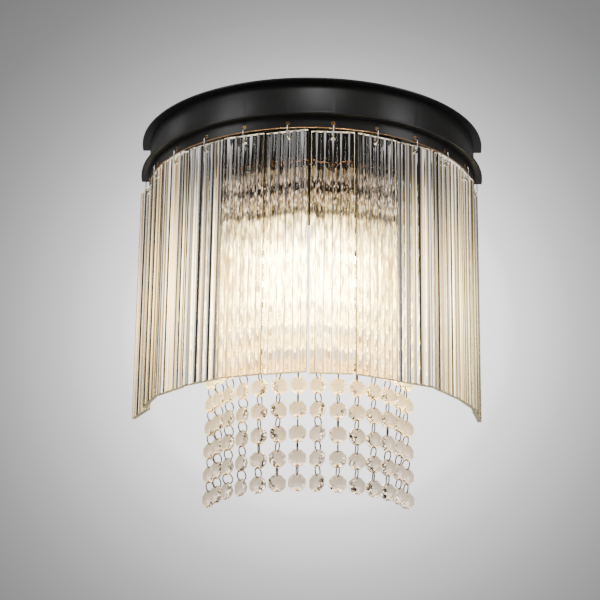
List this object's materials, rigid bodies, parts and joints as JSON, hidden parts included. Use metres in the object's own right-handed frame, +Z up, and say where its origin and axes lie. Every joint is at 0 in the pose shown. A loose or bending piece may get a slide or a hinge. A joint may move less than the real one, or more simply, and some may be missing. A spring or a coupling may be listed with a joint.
{
  "type": "crystal wall sconce",
  "caption": "Half-round wall sconce: black metal half drum with a curtain of reeded crystal plates and strings of octagon beads around candle bulbs.",
  "frame": {"origin": "middle of the two wall screws, on the wall face of the bracket", "axes": "+Z up, +X to the viewer's right, -Y out of the wall to the front"},
  "size_m": [0.3, 0.15, 0.331],
  "materials": {
    "black_metal": "satin",
    "zinc_steel": "satin",
    "brass": "satin",
    "black_plastic": "matte",
    "white_plastic": "matte",
    "lead_sleeve": "matte",
    "chrome_wire": "polished",
    "crystal": "polished",
    "bulb_glass": "polished"
  },
  "bodies": {
    "frame": {"top_plate": "black_metal", "outer_band": "black_metal", "band_flange": "black_metal", "inner_ring": "black_metal", "ring_stays": "black_metal", "canopy": "black_metal", "wall_bracket": "zinc_steel", "earth_screw": "brass", "bracket_studs": "zinc_steel", "cap_nuts": "black_metal", "holder_straps": "black_metal", "lamp_holders": "black_plastic", "holder_nipples": "brass", "bulb_glasses": "bulb_glass", "bulb_caps": "brass", "holder_leads": "lead_sleeve", "lead_bushes": "black_plastic", "terminal_block": "white_plastic", "plate_links": "chrome_wire"},
    "plate_01": {"plate_01": "crystal"},
    "plate_02": {"plate_02": "crystal"},
    "plate_03": {"plate_03": "crystal"},
    "plate_04": {"plate_04": "crystal"},
    "plate_05": {"plate_05": "crystal"},
    "plate_06": {"plate_06": "crystal"},
    "plate_07": {"plate_07": "crystal"},
    "plate_08": {"plate_08": "crystal"},
    "plate_09": {"plate_09": "crystal"},
    "plate_10": {"plate_10": "crystal"},
    "plate_11": {"plate_11": "crystal"},
    "plate_12": {"plate_12": "crystal"},
    "string_01": {"string_01_beads": "crystal", "string_01_rings": "chrome_wire"},
    "string_02": {"string_02_beads": "crystal", "string_02_rings": "chrome_wire"},
    "string_03": {"string_03_beads": "crystal", "string_03_rings": "chrome_wire"},
    "string_04": {"string_04_beads": "crystal", "string_04_rings": "chrome_wire"},
    "string_05": {"string_05_beads": "crystal", "string_05_rings": "chrome_wire"},
    "string_06": {"string_06_beads": "crystal", "string_06_rings": "chrome_wire"},
    "string_07": {"string_07_beads": "crystal", "string_07_rings": "chrome_wire"},
    "string_08": {"string_08_beads": "crystal", "string_08_rings": "chrome_wire"},
    "string_09": {"string_09_beads": "crystal", "string_09_rings": "chrome_wire"},
    "string_10": {"string_10_beads": "crystal", "string_10_rings": "chrome_wire"},
    "string_11": {"string_11_beads": "crystal", "string_11_rings": "chrome_wire"},
    "string_12": {"string_12_beads": "crystal", "string_12_rings": "chrome_wire"},
    "string_13": {"string_13_beads": "crystal", "string_13_rings": "chrome_wire"},
    "string_14": {"string_14_beads": "crystal", "string_14_rings": "chrome_wire"}
  },
  "joints": [
    {"name": "plate_01_swing", "type": "hinge", "parent": "frame", "child": "plate_01", "pos_m": [-0.14078, -0.02041, -0.0101], "axis": [-0.1435, 0.9897, 0], "range_deg": [-4, 45]},
    {"name": "plate_02_swing", "type": "hinge", "parent": "frame", "child": "plate_02", "pos_m": [-0.13083, -0.05584, -0.0101], "axis": [0.3926, -0.9197, 0], "range_deg": [-45, 4]},
    {"name": "plate_03_swing", "type": "hinge", "parent": "frame", "child": "plate_03", "pos_m": [-0.11213, -0.08753, -0.0101], "axis": [-0.6153, 0.7883, 0], "range_deg": [-4, 45]},
    {"name": "plate_04_swing", "type": "hinge", "parent": "frame", "child": "plate_04", "pos_m": [-0.08592, -0.11337, -0.0101], "axis": [0.797, -0.604, 0], "range_deg": [-45, 4]},
    {"name": "plate_05_swing", "type": "hinge", "parent": "frame", "child": "plate_05", "pos_m": [-0.05397, -0.13162, -0.0101], "axis": [-0.9252, 0.3794, 0], "range_deg": [-4, 45]},
    {"name": "plate_06_swing", "type": "hinge", "parent": "frame", "child": "plate_06", "pos_m": [-0.0184, -0.14106, -0.0101], "axis": [0.9916, -0.1293, 0], "range_deg": [-45, 4]},
    {"name": "plate_07_swing", "type": "hinge", "parent": "frame", "child": "plate_07", "pos_m": [0.0184, -0.14106, -0.0101], "axis": [-0.9916, -0.1293, 0], "range_deg": [-4, 45]},
    {"name": "plate_08_swing", "type": "hinge", "parent": "frame", "child": "plate_08", "pos_m": [0.05397, -0.13162, -0.0101], "axis": [0.9252, 0.3794, 0], "range_deg": [-45, 4]},
    {"name": "plate_09_swing", "type": "hinge", "parent": "frame", "child": "plate_09", "pos_m": [0.08592, -0.11337, -0.0101], "axis": [-0.797, -0.604, 0], "range_deg": [-4, 45]},
    {"name": "plate_10_swing", "type": "hinge", "parent": "frame", "child": "plate_10", "pos_m": [0.11213, -0.08753, -0.0101], "axis": [0.6153, 0.7883, 0], "range_deg": [-45, 4]},
    {"name": "plate_11_swing", "type": "hinge", "parent": "frame", "child": "plate_11", "pos_m": [0.13083, -0.05584, -0.0101], "axis": [-0.3926, -0.9197, 0], "range_deg": [-4, 45]},
    {"name": "plate_12_swing", "type": "hinge", "parent": "frame", "child": "plate_12", "pos_m": [0.14078, -0.02041, -0.0101], "axis": [0.1435, 0.9897, 0], "range_deg": [-45, 4]},
    {"name": "string_01_swing", "type": "hinge", "parent": "frame", "child": "string_01", "pos_m": [-0.08075, -0.02655, -0.0103], "axis": [-0.3123, 0.95, 0], "range_deg": [-4, 7]},
    {"name": "string_02_swing", "type": "hinge", "parent": "frame", "child": "string_02", "pos_m": [-0.07416, -0.04153, -0.0103], "axis": [0.4886, -0.8725, 0], "range_deg": [-7, 4]},
    {"name": "string_03_swing", "type": "hinge", "parent": "frame", "child": "string_03", "pos_m": [-0.06483, -0.05497, -0.0103], "axis": [-0.6467, 0.7628, 0], "range_deg": [-4, 7]},
    {"name": "string_04_swing", "type": "hinge", "parent": "frame", "child": "string_04", "pos_m": [-0.0531, -0.06637, -0.0103], "axis": [0.7808, -0.6247, 0], "range_deg": [-7, 4]},
    {"name": "string_05_swing", "type": "hinge", "parent": "frame", "child": "string_05", "pos_m": [-0.0394, -0.07532, -0.0103], "axis": [-0.8861, 0.4635, 0], "range_deg": [-4, 7]},
    {"name": "string_06_swing", "type": "hinge", "parent": "frame", "child": "string_06", "pos_m": [-0.02424, -0.08147, -0.0103], "axis": [0.9585, -0.2852, 0], "range_deg": [-7, 4]},
    {"name": "string_07_swing", "type": "hinge", "parent": "frame", "child": "string_07", "pos_m": [-0.00818, -0.0846, -0.0103], "axis": [-0.9954, 0.0962, 0], "range_deg": [-4, 7]},
    {"name": "string_08_swing", "type": "hinge", "parent": "frame", "child": "string_08", "pos_m": [0.00818, -0.0846, -0.0103], "axis": [0.9954, 0.0962, 0], "range_deg": [-7, 4]},
    {"name": "string_09_swing", "type": "hinge", "parent": "frame", "child": "string_09", "pos_m": [0.02424, -0.08147, -0.0103], "axis": [-0.9585, -0.2852, 0], "range_deg": [-4, 7]},
    {"name": "string_10_swing", "type": "hinge", "parent": "frame", "child": "string_10", "pos_m": [0.0394, -0.07532, -0.0103], "axis": [0.8861, 0.4635, 0], "range_deg": [-7, 4]},
    {"name": "string_11_swing", "type": "hinge", "parent": "frame", "child": "string_11", "pos_m": [0.0531, -0.06637, -0.0103], "axis": [-0.7808, -0.6247, 0], "range_deg": [-4, 7]},
    {"name": "string_12_swing", "type": "hinge", "parent": "frame", "child": "string_12", "pos_m": [0.06483, -0.05497, -0.0103], "axis": [0.6467, 0.7628, 0], "range_deg": [-7, 4]},
    {"name": "string_13_swing", "type": "hinge", "parent": "frame", "child": "string_13", "pos_m": [0.07416, -0.04153, -0.0103], "axis": [-0.4886, -0.8725, 0], "range_deg": [-4, 7]},
    {"name": "string_14_swing", "type": "hinge", "parent": "frame", "child": "string_14", "pos_m": [0.08075, -0.02655, -0.0103], "axis": [0.3123, 0.95, 0], "range_deg": [-7, 4]}
  ]
}
